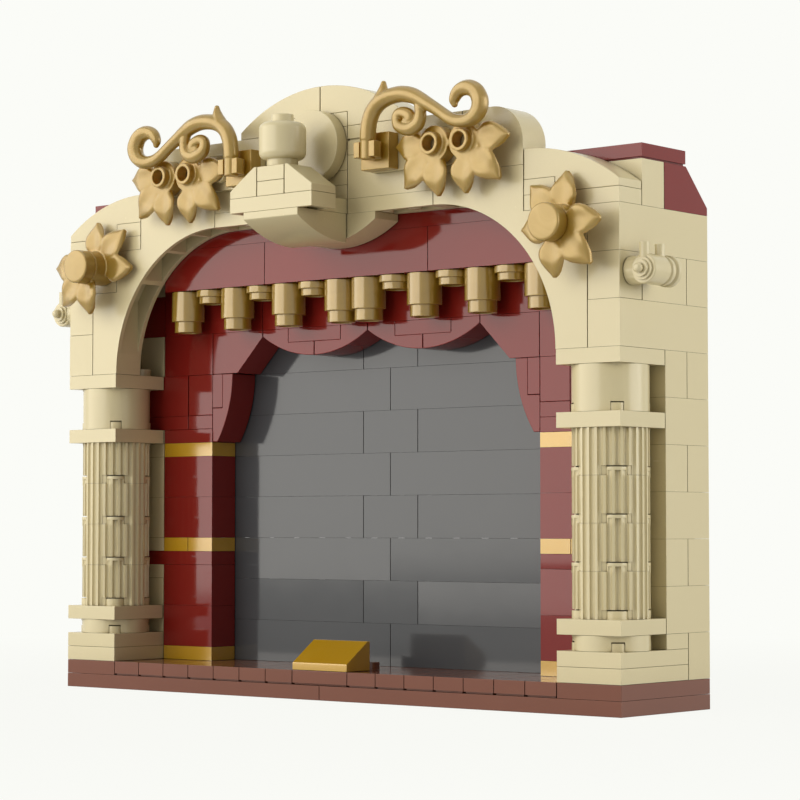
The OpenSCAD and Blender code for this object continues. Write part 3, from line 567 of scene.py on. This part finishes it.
def addTube(verts, faces, path, ridgeFrom):
    # a round tube in the upright plane with a fine ridge along its front, closed by a rounded end
    sides = tube["sides"]
    start = len(verts)
    rings = []
    for i, (x, z, radius) in enumerate(path):
        before, after = path[max(0, i - 1)], path[min(len(path) - 1, i + 1)]
        heading = Vector((after[0] - before[0], after[1] - before[1])).normalized()
        rings.append((x, z, radius, heading))
    x, z, radius, heading = rings[-1]
    for angle in tube["endAngles"]:
        out = radius * math.sin(math.radians(angle))
        narrowed = radius * math.cos(math.radians(angle))
        rings.append((x + heading.x * out, z + heading.y * out, narrowed, heading))
    for i, (x, z, radius, heading) in enumerate(rings):
        share = max(0.0, min(1.0, (i / len(path) - ridgeFrom) * tube["ridgeGrowth"]))
        for s in range(sides):
            turn = 2 * math.pi * s / sides
            off = (turn - math.radians(tube["ridgeTurn"]) + math.pi) % (2 * math.pi) - math.pi
            r = radius * (1 + tube["ridgeHeight"] * share * math.exp(-(off / tube["ridgeWidth"]) ** 2))
            across, front = r * math.cos(turn), r * math.sin(turn)
            verts.append((x - heading.y * across, -front, z + heading.x * across))
    for i in range(len(rings) - 1):
        for s in range(sides):
            a, b = start + i * sides + s, start + i * sides + (s + 1) % sides
            faces.append((a, b, b + sides, a + sides))
    faces.append(tuple(start + s for s in reversed(range(sides))))
    faces.append(tuple(start + (len(rings) - 1) * sides + s for s in range(sides)))


def addLathe(verts, faces, profile):
    # a closed outline of (radius, height) turned about the upright axis
    start, count = len(verts), len(profile)
    for s in range(latheSides):
        turn = 2 * math.pi * s / latheSides
        for radius, height in profile:
            verts.append((radius * math.cos(turn), radius * math.sin(turn), height))
    for s in range(latheSides):
        here, there = start + s * count, start + ((s + 1) % latheSides) * count
        for k in range(count):
            after = (k + 1) % count
            faces.append((here + k, there + k, there + after, here + after))


def fusedPiece(name, verts, faces, place):
    mesh = bpy.data.meshes.new(name)
    mesh.from_pydata([tuple(place @ (Vector(v) * mm)) for v in verts], [], faces)
    mesh.polygons.foreach_set("use_smooth", [True] * len(mesh.polygons))
    piece = bpy.data.objects.new(name, mesh)
    bpy.context.scene.collection.objects.link(piece)
    fuse = piece.modifiers.new("fuse", "REMESH")
    fuse.mode = "VOXEL"
    fuse.voxel_size = fusing["voxel"] * mm
    fuse.use_smooth_shade = True
    soften = piece.modifiers.new("soften", "SMOOTH")
    soften.factor = fusing["smoothStep"]
    soften.iterations = fusing["smoothing"]
    mesh.materials.append(materials["pearl_gold_plastic"])
    return piece


# Vine: a stem with a big scroll, a small curl below it and one thorn, about the axis of its bar.
# Each form is a row of (across, up, share of the stem's radius).

noRidge = 2.0  # a ridge that starts past the end
vine = {
    "barAxis": (20.0, -23.1), "clipLevel": 117.6, "barRadius": 1.6, "barLevels": (-2.1, -1.7, 0, 2.1),
    "stemRadius": 1.75,
    "forms": [("stem", 8, 0.42), ("curl", 8, 0.15), ("thorn", 6, noRidge)],  # steps, ridge start
    "stem": [
        (0, 2.1, 1), (0.14, 4.22, 1), (0.59, 6.31, 1), (1.64, 8.28, 1), (3.31, 9.68, 1),
        (5.46, 10.54, 1), (7.94, 10.9, 1), (10.17, 10.81, 1), (12.45, 10.22, 0.98),
        (14.52, 9.23, 0.9), (16.61, 8.03, 0.82), (18.63, 6.85, 0.76), (20.53, 5.63, 0.74),
        (21.96, 4.7, 0.76), (23.53, 3.95, 0.76), (25.1, 3.57, 0.78), (26.74, 3.49, 0.84),
        (28.25, 3.83, 0.92), (29.56, 4.74, 0.98), (30.28, 6.02, 1.02), (30.35, 7.43, 1.03),
        (29.54, 9.07, 1), (28.39, 9.94, 0.98), (27.08, 10.31, 0.95), (25.6, 10.15, 0.86),
        (24.45, 9.5, 0.78), (23.79, 8.53, 0.68), (23.59, 7.78, 0.58), (23.69, 7.22, 0.42),
    ],
    "curl": [
        (13.88, 9.35, 0.65), (14.35, 7.93, 0.69), (14.58, 6.44, 0.71), (14.39, 5.09, 0.76),
        (13.6, 3.91, 0.8), (11.97, 3.26, 0.82), (10.2, 3.5, 0.8), (8.69, 4.36, 0.76),
        (8.15, 5.63, 0.67), (8.31, 6.52, 0.66), (9.27, 6.95, 0.7), (10.5, 6.8, 0.74),
        (11.75, 6.1, 0.74), (11.75, 5.1, 0.7), (10.8, 4.9, 0.6),
    ],
    "thorn": [
        (3.6, 10.4, 0.95), (4.1, 11.6, 0.74), (4.35, 12.5, 0.6), (4.42, 13.1, 0.47), (4.45, 13.7, 0.36),
    ],
}


def makeVine(side, body):
    verts, faces = [], []
    for form, steps, ridgeFrom in vine["forms"]:
        points = [(x, z, share * vine["stemRadius"]) for x, z, share in vine[form]]
        addTube(verts, faces, smoothPath(points, steps), ridgeFrom)
    addTube(verts, faces, [(0, z, vine["barRadius"]) for z in vine["barLevels"]], noRidge)
    verts = [(side * x, y, z) for x, y, z in verts]
    if side < 0:
        faces = [tuple(reversed(f)) for f in faces]
    across, front = vine["barAxis"]
    place = Matrix.Translation((side * across * mm, front * mm, vine["clipLevel"] * mm))
    piece = fusedPiece(body + "_gilt", verts, faces, place)
    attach(piece, body)
    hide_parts(body)


makeVine(1, "vine_right")
makeVine(-1, "vine_left")
print("theatre: vines made")


# Three-leaf plates, for the sprigs above the arch and for the flowers

leafPlate = {
    "disc": 3.9, "discHeight": 3.15, "stud": 2.4, "studHeight": 4.85, "bore": 1.6,
    "socket": 2.45, "socketHeight": 1.9,
    "spread": 47, "reach": 12.2, "shortReach": 11.0, "root": 2.2, "halfWidth": 3.4, "thickness": 1.3,
    "rise": 1.75, "lean": 0.026, "cup": 0.75, "tipFold": 0.45, "tipDroop": 0.7,
}
blade = {
    "rows": 24, "cols": 12,
    "belly": 0.85, "fullness": 0.75, "narrowest": 0.05,  # outline from root to tip
    "tipThinning": 0.35, "rim": 0.18, "crown": 0.82, "crownPower": 6, "sweep": 1.5,  # section across
    "droopOver": (0.6, 1.15), "cupOver": (0.12, 0.4), "cupEnds": (0.95, 0.5), "foldOver": (0.55, 1.0),
}


def easeBetween(low, high, value):
    t = max(0.0, min(1.0, (value - low) / (high - low)))
    return t * t * (3 - 2 * t)


def addLeaf(verts, faces, angle, reach):
    # an ovate blade, hollow towards the disc and folded back towards its short point
    p, b = leafPlate, blade
    rows, cols = b["rows"], b["cols"]
    start = len(verts)
    cosTurn, sinTurn = math.cos(math.radians(angle)), math.sin(math.radians(angle))
    for layer in (0, 1):
        for i in range(rows + 1):
            v = i / rows
            along = p["root"] + (reach - p["root"]) * v
            half = p["halfWidth"] * max(b["narrowest"], math.sin(math.pi * v ** b["belly"])) ** b["fullness"]
            thick = p["thickness"] * (1 - b["tipThinning"] * v ** 3)
            middle = p["rise"] + p["lean"] * along - p["tipDroop"] * easeBetween(*b["droopOver"], v)
            rise = p["cup"] * easeBetween(*b["cupOver"], v) * easeBetween(*b["cupEnds"], v)
            fall = p["tipFold"] * easeBetween(*b["foldOver"], v)
            for j in range(cols + 1):
                u = 2 * j / cols - 1
                lift = (rise - fall) * abs(u) ** b["sweep"]
                crown = b["crown"] * (1 - abs(u) ** b["crownPower"])
                under = thick * b["rim"] * abs(u) ** b["crownPower"]
                height = middle + lift + (thick * (b["rim"] + crown) if layer else under)
                x, y = along, u * half
                verts.append((x * cosTurn - y * sinTurn, x * sinTurn + y * cosTurn, height))
    width = cols + 1
    top = start + (rows + 1) * width
    for i in range(rows):
        for j in range(cols):
            a = i * width + j
            faces.append((start + a, start + a + 1, start + a + width + 1, start + a + width))
            faces.append((top + a, top + a + width, top + a + width + 1, top + a + 1))
    border = list(range(width)) + [i * width + cols for i in range(1, rows + 1)]
    border += [rows * width + j for j in range(cols - 1, -1, -1)]
    border += [i * width for i in range(rows - 1, 0, -1)]
    for k, a in enumerate(border):
        after = border[(k + 1) % len(border)]
        faces.append((start + a, top + a, top + after, start + after))


def addLeafPlate(verts, faces, centre, angle):
    # built on its back, then stood up so that it faces the audience
    local, localFaces = [], []
    p = leafPlate
    addLathe(local, localFaces, [
        (p["socket"], 0), (p["disc"], 0), (p["disc"], p["discHeight"]), (p["stud"], p["discHeight"]),
        (p["stud"], p["studHeight"]), (p["bore"], p["studHeight"]), (p["bore"], p["socketHeight"]),
        (p["socket"], p["socketHeight"])])
    for k, reach in ((-1, p["shortReach"]), (0, p["reach"]), (1, p["shortReach"])):
        addLeaf(local, localFaces, angle + k * p["spread"], reach)
    start = len(verts)
    x0, y0, z0 = centre
    verts.extend((x0 + x, y0 - z, z0 + y) for x, y, z in local)
    faces.extend(tuple(start + k for k in face) for face in localFaces)


sprigs = {"level": 117.6, "backPlane": -17.6, "places": [(36, 225), (44, 315), (-36, 315), (-44, 225)]}


def makeSprigs():
    verts, faces = [], []
    for x, angle in sprigs["places"]:
        addLeafPlate(verts, faces, (x, sprigs["backPlane"], sprigs["level"]), angle)
    piece = fusedPiece("leaf_sprigs_gilt", verts, faces, Matrix.Identity(4))
    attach(piece, "stage")
    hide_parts("leaf_sprigs")


flowers = {
    "axis": 68, "level": 98.4, "backPlane": -16.0, "step": 3.2, "angles": {1: (135, 315), -1: (45, 225)},
    "knob": 3.9, "knobEdge": 0.35, "edgeSoftness": 0.3, "knobCentre": 0.02, "swell": 0.06, "peak": 0.08,
}


def makeFlower(side, body):
    # two three-leaf plates pointing opposite ways, closed by a round knob
    f = flowers
    verts, faces = [], []
    x = side * f["axis"]
    for layer, angle in enumerate(f["angles"][side]):
        addLeafPlate(verts, faces, (x, f["backPlane"] - layer * f["step"], f["level"]), angle)
    piece = fusedPiece(body + "_gilt", verts, faces, Matrix.Identity(4))
    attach(piece, body)
    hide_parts(body)
    knobVerts, knobFaces = [], []
    r, e, h, centre = f["knob"], f["knobEdge"], f["step"], f["knobCentre"]
    soft = e * f["edgeSoftness"]
    addLathe(knobVerts, knobFaces, [
        (centre, 0), (r, 0), (r, h - e), (r - soft, h - soft), (r - e, h), (r * 0.5, h + f["swell"]),
        (centre, h + f["peak"])])
    base = f["backPlane"] - 2 * f["step"]
    knobVerts = [(x + vx, base - vz, f["level"] + vy) for vx, vy, vz in knobVerts]
    knob = fusedPiece(body + "_knob", knobVerts, knobFaces, Matrix.Identity(4))
    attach(knob, body)


makeSprigs()
makeFlower(1, "flower_right")
makeFlower(-1, "flower_left")
print("theatre: leaves and flowers made")
